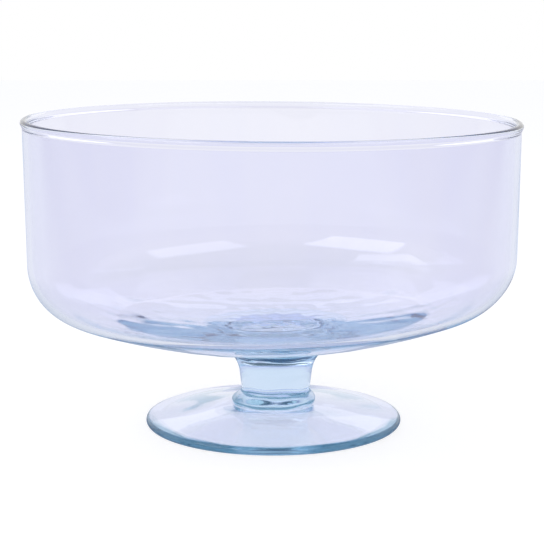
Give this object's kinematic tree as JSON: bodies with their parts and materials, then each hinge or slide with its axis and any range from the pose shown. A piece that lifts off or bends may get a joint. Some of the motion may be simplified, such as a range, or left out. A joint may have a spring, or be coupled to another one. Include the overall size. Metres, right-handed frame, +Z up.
{
  "type": "glass fruit bowl",
  "caption": "Clear footed glass fruit bowl: deep round bowl with a beaded rim and a thick floor, on a short flared stem, a collar and a round hollow foot.",
  "frame": {"origin": "on the axis that every piece is turned about, at the plane that the foot rests on", "axes": "+Z up along that axis, from the foot to the rim; the part is round, so X and Y are alike"},
  "size_m": [0.24, 0.24, 0.15],
  "materials": {
    "bowl_glass": "clear, fire polished, faint lavender",
    "stem_glass": "clear, fire polished, pale blue where it is thick",
    "foot_glass": "clear, fire polished, blue at the edge"
  },
  "bodies": {
    "root": {"bowl": "bowl_glass", "bowl_wafer": "stem_glass", "stem": "stem_glass", "stem_collar": "stem_glass", "foot": "foot_glass"}
  },
  "joints": []
}
